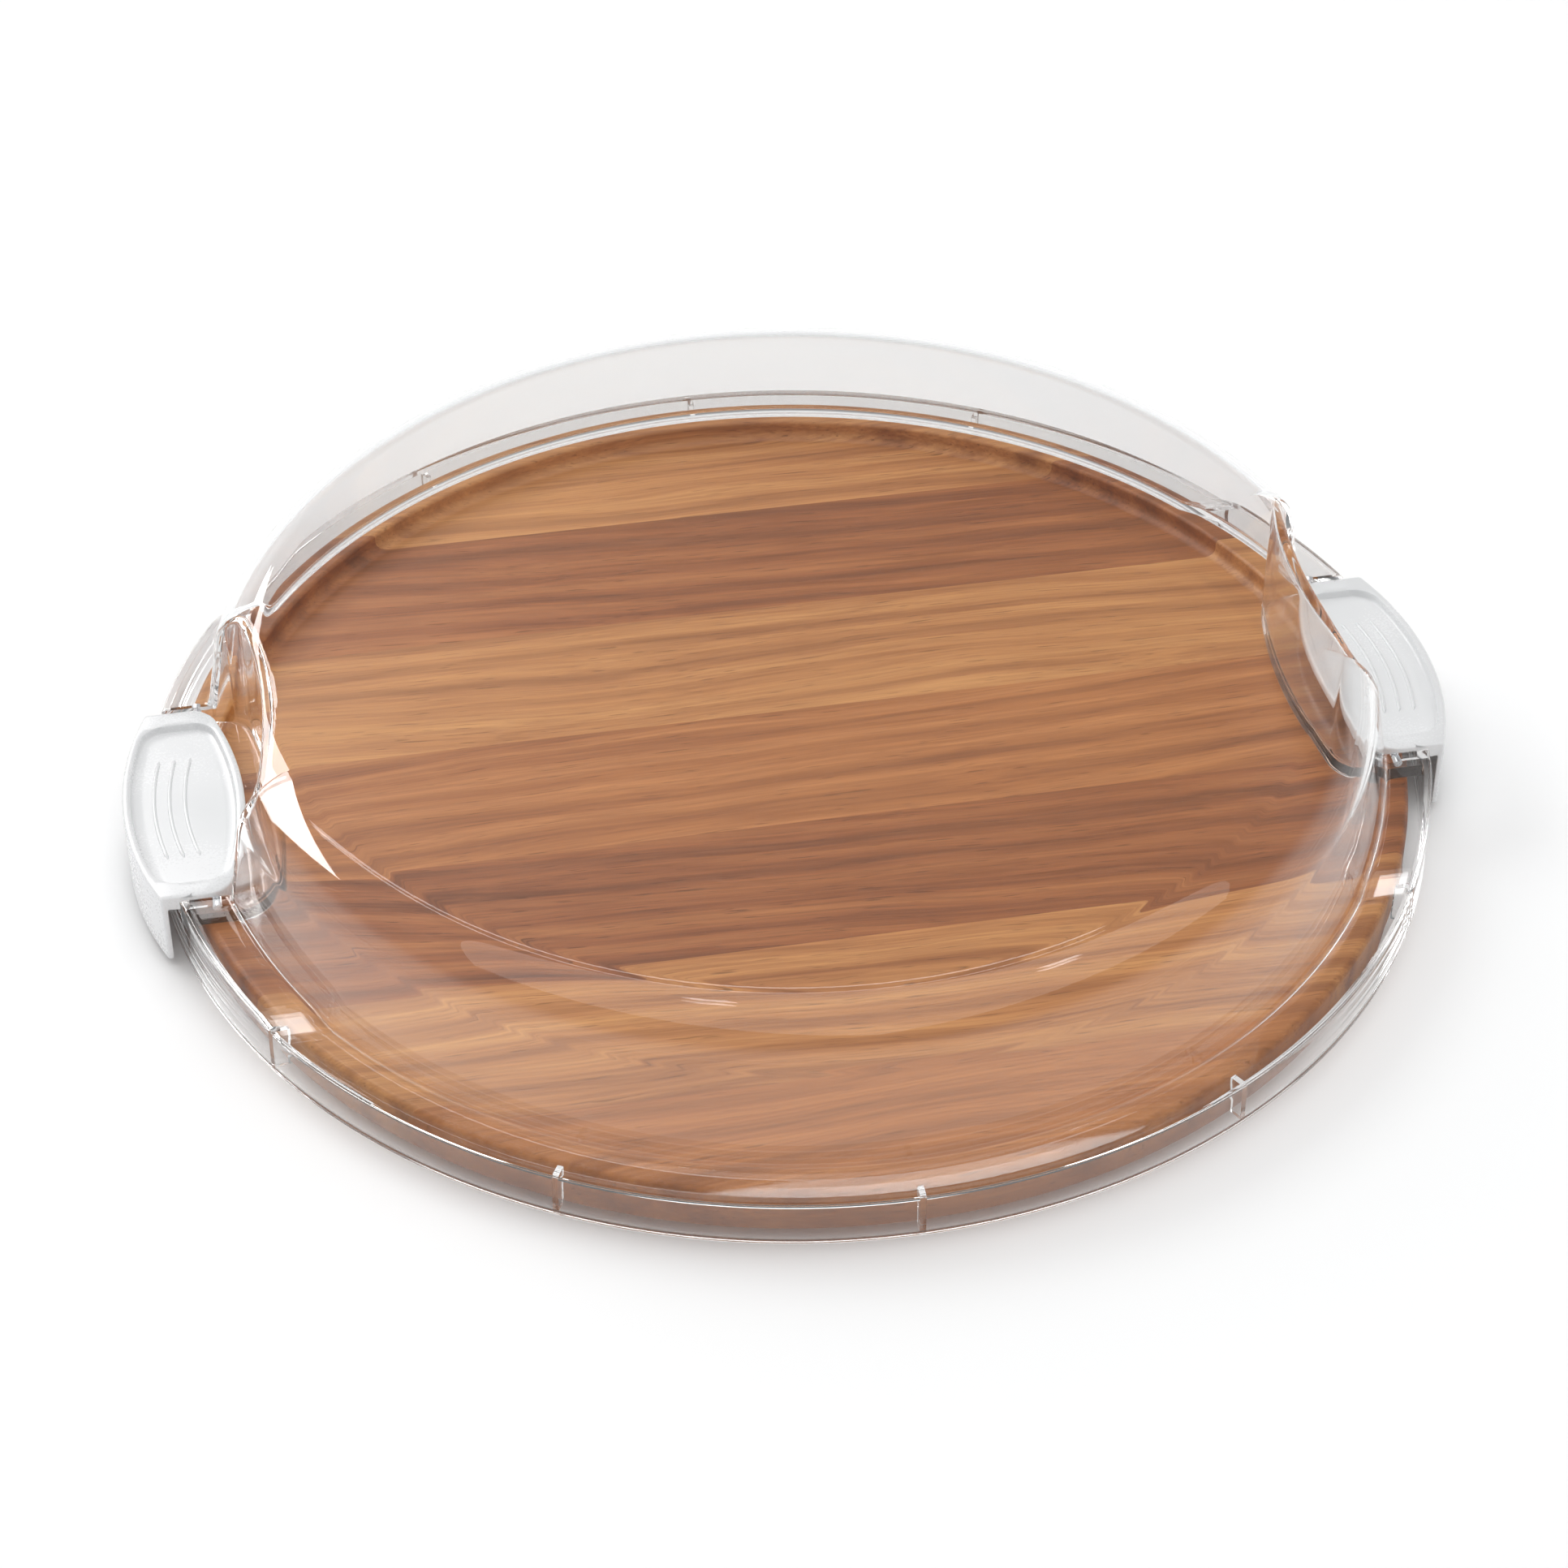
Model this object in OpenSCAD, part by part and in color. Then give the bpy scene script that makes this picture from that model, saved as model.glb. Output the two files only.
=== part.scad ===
// Round serving board with a clear lift-off dome and two rocking latches.
// Millimetres, +Z up, origin at the middle of the board's foot, handles on the X axis.

/* [Board] */
// Outer radius of the board
board_r = 172; // [168:0.5:173]
// Height of the board from the table to the top of its rim
board_h = 16; // [15:0.5:19]
// Width of the raised rim
rim_w = 10.5; // [9:0.5:13]
// Depth of the turned recess that holds the food
recess_depth = 6; // [5:0.5:8]
// Radius of the foot under the board
foot_r = 165; // [150:1:168]
// Height of the foot, which is the room under the board's edge
foot_h = 4.5; // [4.4:0.1:5.5]
// Number of glued staves
stave_count = 7; // [5:1:9]

/* [Dome] */
// Outer radius of the skirt at its lower edge
skirt_r = 178; // [177:0.5:178]
// Height of the skirt's lower edge above the table
skirt_gap = 5; // [4.9:0.1:5.2]
// Wall thickness of the clear plastic
wall = 2.4; // [2:0.1:2.8]
// Outer radius of the dome's wall where it meets the ledge
dome_r = 166; // [165:0.5:167]
// Lean of the dome's wall, in degrees
dome_lean = 10; // [6:1:12]
// Radius of the dome's rounded shoulder
shoulder_r = 17; // [12:1:20]
// Height of the dome's flat top above the table
dome_top = 60.5; // [56:0.5:75]

/* [Latch bay] */
// Distance from the middle of the dome to the deepest point of the scoop
scoop_u = 145; // [144:0.5:147]
// Plan radius of the scoop's back wall
scoop_r = 160; // [140:5:200]
// Half the length of the bay
bay_half = 41; // [41:0.2:42]
// Corner radius of the scoop
scoop_corner = 10; // [6:1:12]
// Height of the ramps beside each latch, above the ledge
ramp_h = 5.8; // [5.6:0.1:6]
// Height of each ramp at its far end, above the ledge
ramp_end_h = 2; // [1:0.5:3]

/* [Latch] */
// Half the length of a latch
latch_half = 39.5; // [38.5:0.1:39.8]
// Distance from the middle of the dome to the latch's inner tab
tab_u = 152.5; // [152:0.5:154]
// Distance from the middle of the dome to the latch's outer face
face_u = 185.8; // [185:0.1:187]
// Height of the latch's top above the ledge
latch_h = 5.85; // [5.6:0.05:6.1]
// Half the width of the hook
hook_half = 15; // [12:0.5:15]
// Furthest opening angle of the latch, in degrees
latch_open = 18; // [14:1:18]
// Furthest closing angle of the latch, in degrees
latch_close = 6; // [4:0.5:6]
// Number of grip ridges on each latch
ridge_count = 3; // [1:1:3]

/* [Hidden] */
$fn = 180;

// Board
recess_r = board_r - rim_w;
recess_z = board_h - recess_depth;
edge_round = 2.2;
foot_chamfer = 0.8;
recess_fillet = 3;
stave_w = 2 * board_r / stave_count;
tones = ["#b3733f", "#a9683a", "#bd8049", "#9c5c33", "#b87a45"];

// Dome: the ledge lies on the board's rim, and the skirt hangs round the board
lid_seat = 0.05;
ledge_low = board_h + lid_seat;
ledge_top = ledge_low + wall;
ledge_r = skirt_r - 0.4;
ledge_round = 1;
skirt_inner = skirt_r - wall;
rib_places = 12;
rib_t = 1.6;
rib_gap = 0.5;
rib_inner = board_r + rib_gap;
rib_low = skirt_gap + 0.6;
ramp_foot = 6;
notch_half = hook_half + 2.5;
over = 1;
big = 240;

// Latch: u runs outwards along the handle axis, v along the hinge
latch_top = ledge_top + latch_h;
pin_u = 163;
pin_z = ledge_top + 2.9;
pin_r = 1.25;
pin_run = 0.05;
pin_in = 34.5;
pin_out = bay_half + wall - 0.1;
lip_in = 33.5;
skin = 1.7;
dish_z = latch_top - 2.2;
face_end_u = 177.6;
tab_end_u = 160;
face_low = 2.6;
floor_gap = 0.3;
limit_gap = 0.15;
hook_top = foot_h - 0.2;
hook_t = 1.7;
hook_tip_r = board_r + 0.35;
ridge_w = 1.1;
ridge_h = 0.6;
ridge_pitch = 4.2;
ridge_half = 21;
ridge_first = 8;

// Radius of the arc through (u_end, +-half) and (u_mid, 0)
function arc_r(u_mid, u_end, half) =
    let (s = abs(u_mid - u_end)) (half * half + s * s) / (2 * s);
face_r = arc_r(face_u, face_end_u, latch_half);
tab_r = arc_r(tab_u, tab_end_u, latch_half);

// Points of an arc about c from angle a0 to a1
function arc(c, r, a0, a1, n = 16) =
    [for (i = [0:n]) let (a = a0 + (a1 - a0) * i / n) c + r * [cos(a), sin(a)]];

// Profile of the dome's wall and shoulder, grown inwards by t
function dome_curve(t) =
    let (zc = dome_top - shoulder_r,
         rc = dome_r - (zc - ledge_top) * tan(dome_lean) - shoulder_r / cos(dome_lean))
    concat(arc([rc, zc], shoulder_r - t, dome_lean, 90), [[0, dome_top - t]]);

// ---- Board ----

module board_profile() {
    polygon(concat(
        [[0, 0], [foot_r - foot_chamfer, 0], [foot_r, foot_chamfer], [foot_r, foot_h],
         [board_r - foot_chamfer, foot_h], [board_r, foot_h + foot_chamfer]],
        arc([board_r - edge_round, board_h - edge_round], edge_round, 0, 90, 8),
        arc([recess_r + 1, board_h - 1], 1, 90, 180, 5),
        arc([recess_r - recess_fillet, recess_z + recess_fillet], recess_fillet, 0, -90, 8),
        [[0, recess_z]]));
}

module stave(i) {
    y0 = -board_r + (i - 1) * stave_w;
    color(tones[(i * 3) % len(tones)])
    intersection() {
        rotate_extrude() board_profile();
        translate([-board_r - over, y0, -over])
            cube([2 * (board_r + over), stave_w, board_h + 2 * over]);
    }
}

// ---- Dome ----

// Section of the lid's outside, from the skirt up to the flat top
module lid_outside_profile() {
    polygon(concat(
        [[0, skirt_gap], [skirt_r, skirt_gap]],
        arc([ledge_r - ledge_round, ledge_top - ledge_round], ledge_round, 0, 90, 5),
        [[dome_r, ledge_top]],
        dome_curve(0)));
}

// Section of the space under the lid
module lid_inside_profile() {
    wall_foot = dome_r - wall / cos(dome_lean) + wall * tan(dome_lean);
    polygon(concat(
        [[0, skirt_gap - over], [skirt_inner, skirt_gap - over], [skirt_inner, ledge_low],
         [wall_foot, ledge_low]],
        dome_curve(wall)));
}

// Plan of the latch bay: an arc across the back with rounded corners, grown by g
module bay_plan(g = 0) {
    r = scoop_r + g;
    half = bay_half + g;
    corner = scoop_corner + g;
    cu = scoop_u + scoop_r;
    fv = half - corner;
    fu = cu - sqrt(pow(r - corner, 2) - fv * fv);
    tangent_v = r * fv / (r - corner);
    intersection() {
        translate([cu, 0]) circle(r = r, $fn = 360);
        translate([0, -tangent_v]) square([big, 2 * tangent_v]);
    }
    for (s = [-1, 1]) translate([fu, s * fv]) circle(r = corner);
    translate([fu, -half]) square([big - fu, 2 * half]);
}

module bay_cutter(g, z) {
    for (a = [0, 180]) rotate([0, 0, a])
        translate([0, 0, z]) linear_extrude(height = big) bay_plan(g);
}

// Ramps that rise along the ledge from both sides up to each latch bay, each with a short sloped foot
module ramps(r, end_v, z0, drop) {
    ramp_end = ledge_r * sin(30);
    rise = ramp_h - drop;
    slope = atan((ramp_h - ramp_end_h) / (ramp_end - bay_half));
    foot_slope = atan(ramp_end_h / ramp_foot);
    for (a = [0, 180], m = [0, 1]) rotate([0, 0, a]) mirror([0, m, 0])
        intersection() {
            translate([0, 0, z0]) cylinder(r = r, h = big);
            translate([0, 0, z0]) cube([big, ramp_end + ramp_foot - 1, big]);
            translate([0, end_v, 0]) cube([big, big, big]);
            translate([0, bay_half, ledge_top + rise])
                rotate([-slope, 0, 0]) translate([0, -big / 2, -big]) cube([big, big, big]);
            translate([0, ramp_end + ramp_foot / 2, ledge_top - drop])
                rotate([-foot_slope, 0, 0]) translate([0, -big + 20, -big]) cube([big, big, big]);
            translate([148, 0, 0]) cube([big, big, big]);
        }
}

module centring_ribs() {
    for (k = [1:rib_places - 1]) if (k != rib_places / 2)
        rotate([0, 0, k * 360 / rib_places])
            translate([rib_inner, -rib_t / 2, rib_low])
                cube([skirt_inner - rib_inner + wall / 2, rib_t, ledge_top - 0.2 - rib_low]);
}

module hinge_holes(r) {
    for (a = [0, 180]) rotate([0, 0, a])
        translate([pin_u, 0, pin_z]) rotate([90, 0, 0])
            cylinder(r = r, h = 2 * (bay_half + wall + 0.3), center = true, $fn = 48);
}

module hook_notches() {
    for (a = [0, 180]) rotate([0, 0, a])
        translate([board_r - 2, -notch_half, skirt_gap - over])
            cube([12, 2 * notch_half, ledge_low - skirt_gap + over]);
}

module dome_lid() {
    color([0.86, 0.9, 0.92, 0.35])
    difference() {
        union() {
            difference() {
                union() {
                    rotate_extrude() lid_outside_profile();
                    ramps(ledge_r - 0.3, bay_half - over, ledge_top - over, 0);
                }
                bay_cutter(0, ledge_top);
                difference() {
                    union() {
                        rotate_extrude() lid_inside_profile();
                        ramps(skirt_inner - 0.3, bay_half + wall - over, ledge_low - over, wall);
                    }
                    bay_cutter(wall, ledge_low);
                }
            }
            centring_ribs();
        }
        hinge_holes(pin_r);
        hook_notches();
    }
}

// ---- Latches ----

// Plan of a latch, set in by g from its two curved sides and cut at half its length
module latch_plan(g = 0, half = latch_half) {
    intersection() {
        translate([face_u - face_r, 0]) circle(r = face_r - g, $fn = 360);
        translate([tab_u + tab_r, 0]) circle(r = tab_r - g, $fn = 360);
        translate([tab_u - over, -half]) square([face_u - tab_u + 2 * over, 2 * half]);
    }
}

// Raised body: end lips, dished top and the hollow under it
module latch_body() {
    difference() {
        translate([0, 0, ledge_top + floor_gap])
            linear_extrude(height = latch_top - ledge_top - floor_gap) latch_plan();
        translate([0, 0, dish_z]) linear_extrude(height = 10) latch_plan(2.2, lip_in);
        linear_extrude(height = dish_z - skin) latch_plan(skin, lip_in);
        // inner underside that comes down on the bay's floor when the latch is fully open
        translate([pin_u, -big / 2, pin_z]) rotate([0, latch_open, 0])
            translate([-big, 0, ledge_top - pin_z - big + limit_gap]) cube([big, big, big]);
        // outer underside that comes down on the ledge when the latch is closed
        translate([pin_u, -big / 2, pin_z]) rotate([0, -latch_close, 0])
            translate([0, 0, ledge_top - pin_z - big + limit_gap]) cube([big, big, big]);
    }
}

// Outer wall that hangs down over the skirt
module latch_face() {
    translate([0, 0, face_low])
        linear_extrude(height = dish_z - face_low)
            difference() {
                latch_plan();
                translate([face_u - face_r, 0]) circle(r = face_r - skin, $fn = 360);
            }
}

// Hook that turns in under the edge of the board
module latch_hook() {
    translate([0, 0, hook_top - hook_t])
        linear_extrude(height = hook_t)
            difference() {
                intersection() {
                    translate([face_u - face_r, 0]) circle(r = face_r - skin / 2, $fn = 360);
                    translate([board_r - 8, -hook_half]) square([30, 2 * hook_half]);
                }
                circle(r = hook_tip_r, $fn = 360);
            }
}

module grip_ridges() {
    for (k = [0:ridge_count - 1])
        translate([0, 0, dish_z - 0.2]) linear_extrude(height = ridge_h + 0.2)
            intersection() {
                difference() {
                    translate([face_u - face_r, 0])
                        circle(r = face_r - ridge_first - k * ridge_pitch, $fn = 360);
                    translate([face_u - face_r, 0])
                        circle(r = face_r - ridge_first - k * ridge_pitch - ridge_w, $fn = 360);
                }
                translate([150, -ridge_half]) square([40, 2 * ridge_half]);
            }
}

module latch(turn) {
    color("#f4f4f2")
    rotate([0, 0, turn])
    difference() {
        union() {
            latch_body();
            latch_face();
            latch_hook();
            grip_ridges();
        }
        for (s = [-1, 1]) translate([pin_u, s * (pin_in + latch_half) / 2, pin_z])
            rotate([90, 0, 0])
                cylinder(r = pin_r + pin_run, h = latch_half - pin_in + 0.6, center = true, $fn = 48);
    }
}

module left_latch() { latch(180); }
module right_latch() { latch(0); }

module hinge_pin(side, end) {
    color("#c9ccd0")
    translate([side * pin_u, end * (pin_in + pin_out) / 2, pin_z])
        rotate([90, 0, 0]) cylinder(r = pin_r, h = pin_out - pin_in, center = true, $fn = 48);
}

for (i = [1:stave_count])
    stave(i);
dome_lid();
left_latch();
right_latch();
hinge_pin(-1, -1);  // left_front_hinge_pin
hinge_pin(-1, 1);  // left_rear_hinge_pin
hinge_pin(1, -1);  // right_front_hinge_pin
hinge_pin(1, 1);  // right_rear_hinge_pin
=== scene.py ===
import math
import bpy
import bmesh
import numpy as np
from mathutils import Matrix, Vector


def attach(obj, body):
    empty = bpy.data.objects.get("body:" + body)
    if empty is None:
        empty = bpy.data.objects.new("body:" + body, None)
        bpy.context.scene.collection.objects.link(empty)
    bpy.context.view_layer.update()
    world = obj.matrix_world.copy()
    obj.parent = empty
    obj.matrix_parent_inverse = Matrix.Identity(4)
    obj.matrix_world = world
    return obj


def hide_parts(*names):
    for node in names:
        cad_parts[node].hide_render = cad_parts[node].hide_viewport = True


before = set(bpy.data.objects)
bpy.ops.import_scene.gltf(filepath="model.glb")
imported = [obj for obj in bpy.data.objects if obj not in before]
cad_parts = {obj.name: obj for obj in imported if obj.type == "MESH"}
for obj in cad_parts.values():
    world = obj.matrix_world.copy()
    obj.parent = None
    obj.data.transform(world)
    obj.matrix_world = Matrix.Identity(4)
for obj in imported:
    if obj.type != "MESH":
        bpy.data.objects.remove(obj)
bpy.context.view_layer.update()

MM = 0.001

# ---------------------------------------------------------------- sizes, in millimetres and degrees
# These are the CAD's own, apart from the small roundings, which are in Blender alone.
# board: its foot, turned edge and recess
BOARD_R, BOARD_H, RECESS_R, RECESS_Z = 172.0, 16.0, 161.5, 10.0
FOOT_R, FOOT_H = 165.0, 4.5
FOOT_ROUND, EDGE_LOW, EDGE_TOP, RIM_ROUND, RECESS_FILLET = 0.8, 1.2, 2.2, 1.2, 3.0
STAVES = 7
STAVE_W = 2 * BOARD_R / STAVES

# lid: its skirt hangs round the board, and its ledge lies on the board's rim
SKIRT_R, SKIRT_GAP, WALL = 178.0, 5.0, 2.4
LEDGE_LOW = BOARD_H + 0.05
LEDGE_TOP = LEDGE_LOW + WALL
LEDGE_R = SKIRT_R - 0.4
SKIRT_IN = SKIRT_R - WALL
DOME_R, DOME_LEAN, SHOULDER_R, DOME_TOP = 166.0, 10.0, 17.0, 60.5
DOME_FOOT_OUT, DOME_FOOT_IN = 165.6, 163.99
RIB_INNER, RIB_HALF_DEG = 172.5, 0.264
RIB_ANGLES = (30.0, 60.0, 90.0)
NOTCH_HALF = 17.5
FILLET, FILLET_IN, LEDGE_EDGE, SKIRT_LIP = 1.5, 0.5, 1.0, 0.6

# the bay that holds a latch, and the ramps beside it
SCOOP_U, SCOOP_R, BAY_HALF, CORNER = 145.0, 160.0, 41.0, 10.0
SIDE_OUT, SIDE_IN, FAN = 14.50, 15.38, 0.05
SIDE_END_OUT, SIDE_END_IN = 169.0, 167.0
FAR = 400.0
CORNER_EASE = 1.8
RAMP_H, RAMP_LOW, RAMP_FOOT, RAMP_EDGE = 5.8, 2.0, 6.0, 0.9
RAMP_END = LEDGE_R * 0.5

# latch: u runs outwards along the handle axis, and v along the hinge
PIN_U, PIN_Z = 163.0, LEDGE_TOP + 2.9
LATCH_HALF, LIP_IN, SKIN = 39.5, 33.5, 1.7
LATCH_TOP = LEDGE_TOP + 5.85
DISH_Z = LATCH_TOP - 2.2
LATCH_EDGE, RIM_W, HUB_R, FOOT_EASE = 0.9, 2.2, 2.75, 0.35
TAB_CORNER, DISH_CORNER = 5.0, 5.0
OPEN_DEG, CLOSE_DEG = 18.0, 6.0
HOOK_LOW, HOOK_TOP, HOOK_HALF, HOOK_PLAY = 2.6, 4.3, 15.0, 0.35
RIDGES, RIDGE_FIRST, RIDGE_PITCH = 3, 8.0, 4.2
RIDGE_W, RIDGE_H, RIDGE_HALF = 0.55, 0.58, 21.0


def rad(a):
    return math.radians(a)


def arc_r(u_mid, u_end, half):
    """Radius of the arc through (u_mid, 0) and (u_end, +-half)."""
    s = abs(u_mid - u_end)
    return (half * half + s * s) / (2 * s)


FACE_U, FACE_END, TAB_U, TAB_END = 185.8, 177.6, 152.5, 160.0
FACE_R = arc_r(FACE_U, FACE_END, LATCH_HALF)
TAB_R = arc_r(TAB_U, TAB_END, LATCH_HALF)


# ---------------------------------------------------------------- mesh helpers
def new_object(name, verts, faces):
    """A mesh object from millimetre vertices, with doubles joined and normals facing out."""
    me = bpy.data.meshes.new(name)
    me.from_pydata([tuple(float(c) * MM for c in v) for v in verts], [], faces)
    bm = bmesh.new()
    bm.from_mesh(me)
    bmesh.ops.remove_doubles(bm, verts=bm.verts, dist=2e-6)
    bmesh.ops.dissolve_degenerate(bm, edges=bm.edges, dist=1e-7)
    bmesh.ops.recalc_face_normals(bm, faces=bm.faces)
    bm.to_mesh(me)
    bm.free()
    me.update()
    o = bpy.data.objects.new(name, me)
    bpy.context.scene.collection.objects.link(o)
    return o


def smooth(o, angle):
    """Smooth shading, with edges sharper than angle kept crisp."""
    bm = bmesh.new()
    bm.from_mesh(o.data)
    for f in bm.faces:
        f.smooth = True
    for e in bm.edges:
        if len(e.link_faces) == 2:
            e.smooth = e.calc_face_angle(0.0) < rad(angle)
    bm.to_mesh(o.data)
    bm.free()


def grid_faces(rows, cols):
    """Quads of a grid whose vertex (i, j) is i * cols + j, closed round its columns."""
    faces = []
    for i in range(rows - 1):
        for j in range(cols):
            j2 = (j + 1) % cols
            faces.append((i * cols + j, i * cols + j2, (i + 1) * cols + j2, (i + 1) * cols + j))
    return faces


def spread(a, b, n):
    """n + 1 evenly spaced values from a to b."""
    return [a + (b - a) * i / n for i in range(n + 1)]


def arc_pts(cx, cz, r, a0, a1, n):
    """n + 1 points of the arc about (cx, cz) from angle a0 to angle a1."""
    return [(cx + r * math.cos(rad(a)), cz + r * math.sin(rad(a))) for a in spread(a0, a1, n)]


# ---------------------------------------------------------------- materials
class Nodes:
    """A short way to write shader nodes."""

    def __init__(self, name):
        self.mat = bpy.data.materials.new(name)
        self.mat.use_nodes = True
        self.nt = self.mat.node_tree
        self.nt.nodes.clear()
        self.out = self.nt.nodes.new("ShaderNodeOutputMaterial")
        self.bsdf = self.nt.nodes.new("ShaderNodeBsdfPrincipled")
        self.link(self.bsdf.outputs[0], self.out.inputs["Surface"])

    def link(self, a, b):
        self.nt.links.new(a, b)

    def put(self, socket, value):
        if hasattr(value, "is_output"):
            self.link(value, socket)
        elif value is not None:
            socket.default_value = value

    def node(self, kind, **settings):
        n = self.nt.nodes.new(kind)
        for k, v in settings.items():
            setattr(n, k, v)
        return n

    def coords(self):
        return self.node("ShaderNodeTexCoord").outputs["Object"]

    def mapping(self, vec, scale=(1, 1, 1), loc=(0, 0, 0), rot=(0, 0, 0)):
        n = self.node("ShaderNodeMapping")
        self.put(n.inputs["Vector"], vec)
        n.inputs["Scale"].default_value = scale
        n.inputs["Location"].default_value = loc
        n.inputs["Rotation"].default_value = rot
        return n.outputs[0]

    def noise(self, vec, scale=1.0, detail=2.0, rough=0.5, colour=False):
        n = self.node("ShaderNodeTexNoise")
        self.put(n.inputs["Vector"], vec)
        n.inputs["Scale"].default_value = scale
        n.inputs["Detail"].default_value = detail
        n.inputs["Roughness"].default_value = rough
        return n.outputs["Color" if colour else "Fac"]

    def math(self, op, a, b):
        n = self.node("ShaderNodeMath", operation=op)
        for s, v in zip(n.inputs, (a, b)):
            self.put(s, v)
        return n.outputs[0]

    def vmath(self, op, a, b=None):
        n = self.node("ShaderNodeVectorMath", operation=op)
        self.put(n.inputs[0], a)
        self.put(n.inputs[1], b)
        return n.outputs["Value" if op == "LENGTH" else "Vector"]

    def remap(self, v, lo, hi, to_lo=0.0, to_hi=1.0):
        n = self.node("ShaderNodeMapRange")
        n.clamp = True
        for s, x in zip(n.inputs, (v, lo, hi, to_lo, to_hi)):
            self.put(s, x)
        return n.outputs[0]

    def ramp(self, v, stops):
        n = self.node("ShaderNodeValToRGB")
        self.put(n.inputs[0], v)
        els = n.color_ramp.elements
        while len(els) < len(stops):
            els.new(0.5)
        for e, (pos, col) in zip(els, stops):
            e.position = pos
            e.color = (*col, 1.0)
        return n.outputs[0]

    def mix(self, f, a, b, blend="MIX"):
        n = self.node("ShaderNodeMix", data_type="RGBA", blend_type=blend)
        self.put(n.inputs[0], f)
        self.put(n.inputs[6], a if hasattr(a, "is_output") else (*a, 1.0))
        self.put(n.inputs[7], b if hasattr(b, "is_output") else (*b, 1.0))
        return n.outputs[2]

    def bump(self, height, strength, distance):
        n = self.node("ShaderNodeBump")
        self.put(n.inputs["Height"], height)
        n.inputs["Strength"].default_value = strength
        n.inputs["Distance"].default_value = distance
        self.link(n.outputs[0], self.bsdf.inputs["Normal"])


def painted_edge_shade(m, colour):
    """Painted shade: the board's turned edge is darkened, most of all low down, where it lies in shade."""
    place = m.node("ShaderNodeSeparateXYZ")
    m.link(m.coords(), place.inputs[0])
    radius = m.vmath("LENGTH", m.vmath("MULTIPLY", m.coords(), (1.0, 1.0, 0.0)))
    edge = m.remap(radius, (BOARD_R - 1.6) * MM, (BOARD_R - 0.2) * MM)
    low = m.remap(place.outputs["Z"], (BOARD_H - 1.0) * MM, 7.0 * MM, 0.25, 0.75)
    return m.mix(m.math("MULTIPLY", edge, low), colour, (0.45, 0.36, 0.30), "MULTIPLY")


def wood(name, seed, light, mid, dark, tilt):
    """Oiled acacia: solid grain along X, so that the rim and the ends cut through it as real wood does."""
    m = Nodes(name)
    p = m.mapping(m.coords(), loc=(seed * 0.37, seed * 0.211, seed * 0.133), rot=(0, 0, tilt))
    bend = m.noise(m.mapping(p, scale=(5, 16, 16)), detail=2.0, colour=True)
    bend = m.vmath("SUBTRACT", bend, (0.5, 0.5, 0.5))
    q = m.vmath("ADD", p, m.vmath("MULTIPLY", bend, (0.0, 0.020, 0.016)))
    bands = m.noise(m.mapping(q, scale=(2.2, 85, 85)), detail=3.0, rough=0.55)
    wave = m.node("ShaderNodeTexWave", wave_type="BANDS", bands_direction="Y", wave_profile="SIN")
    m.put(wave.inputs["Vector"], m.mapping(q, scale=(0.7, 30, 22), rot=(0.5, 0, 0)))
    wave.inputs["Scale"].default_value = 1.1
    wave.inputs["Distortion"].default_value = 4.0
    wave.inputs["Detail"].default_value = 2.5
    wave.inputs["Detail Scale"].default_value = 0.7
    fibre = m.noise(m.mapping(q, scale=(22, 900, 900)), detail=4.0, rough=0.65)
    streak = m.noise(m.mapping(q, scale=(7, 330, 330)), detail=3.0, rough=0.6)
    tone = m.math("ADD", m.math("MULTIPLY", bands, 0.62), m.math("MULTIPLY", wave.outputs["Fac"], 0.20))
    tone = m.math("ADD", tone, m.math("MULTIPLY", m.math("SUBTRACT", streak, 0.5), 0.42))
    colour = m.ramp(tone, [(0.18, dark), (0.40, mid), (0.62, light), (0.80, mid)])
    colour = m.mix(m.remap(fibre, 0.36, 0.66, 0.42, 0.0), colour, dark, "MULTIPLY")
    pores = m.noise(m.mapping(q, scale=(85, 1700, 1700)), detail=1.0, rough=0.4)
    pores = m.remap(pores, 0.66, 0.74)
    broad = m.noise(m.mapping(p, scale=(9, 12, 12)), detail=1.0)
    colour = m.mix(m.math("MULTIPLY", pores, 0.55), colour, tuple(c * 0.35 for c in dark))
    colour = m.mix(m.remap(broad, 0.35, 0.7, 0.0, 0.28), colour, light)
    # the board's turned edge gets painted shade, darkest low down
    m.link(painted_edge_shade(m, colour), m.bsdf.inputs["Base Color"])
    rough = m.math("ADD", m.remap(fibre, 0.3, 0.7, 0.36, 0.52), m.math("MULTIPLY", pores, 0.15))
    m.link(rough, m.bsdf.inputs["Roughness"])
    height = m.math("SUBTRACT", m.math("MULTIPLY", fibre, 0.5), m.math("MULTIPLY", pores, 0.9))
    m.bump(height, 0.35, 0.00012)
    m.bsdf.inputs["IOR"].default_value = 1.45
    return m.mat


MOST_TURNS = 9.5


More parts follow.
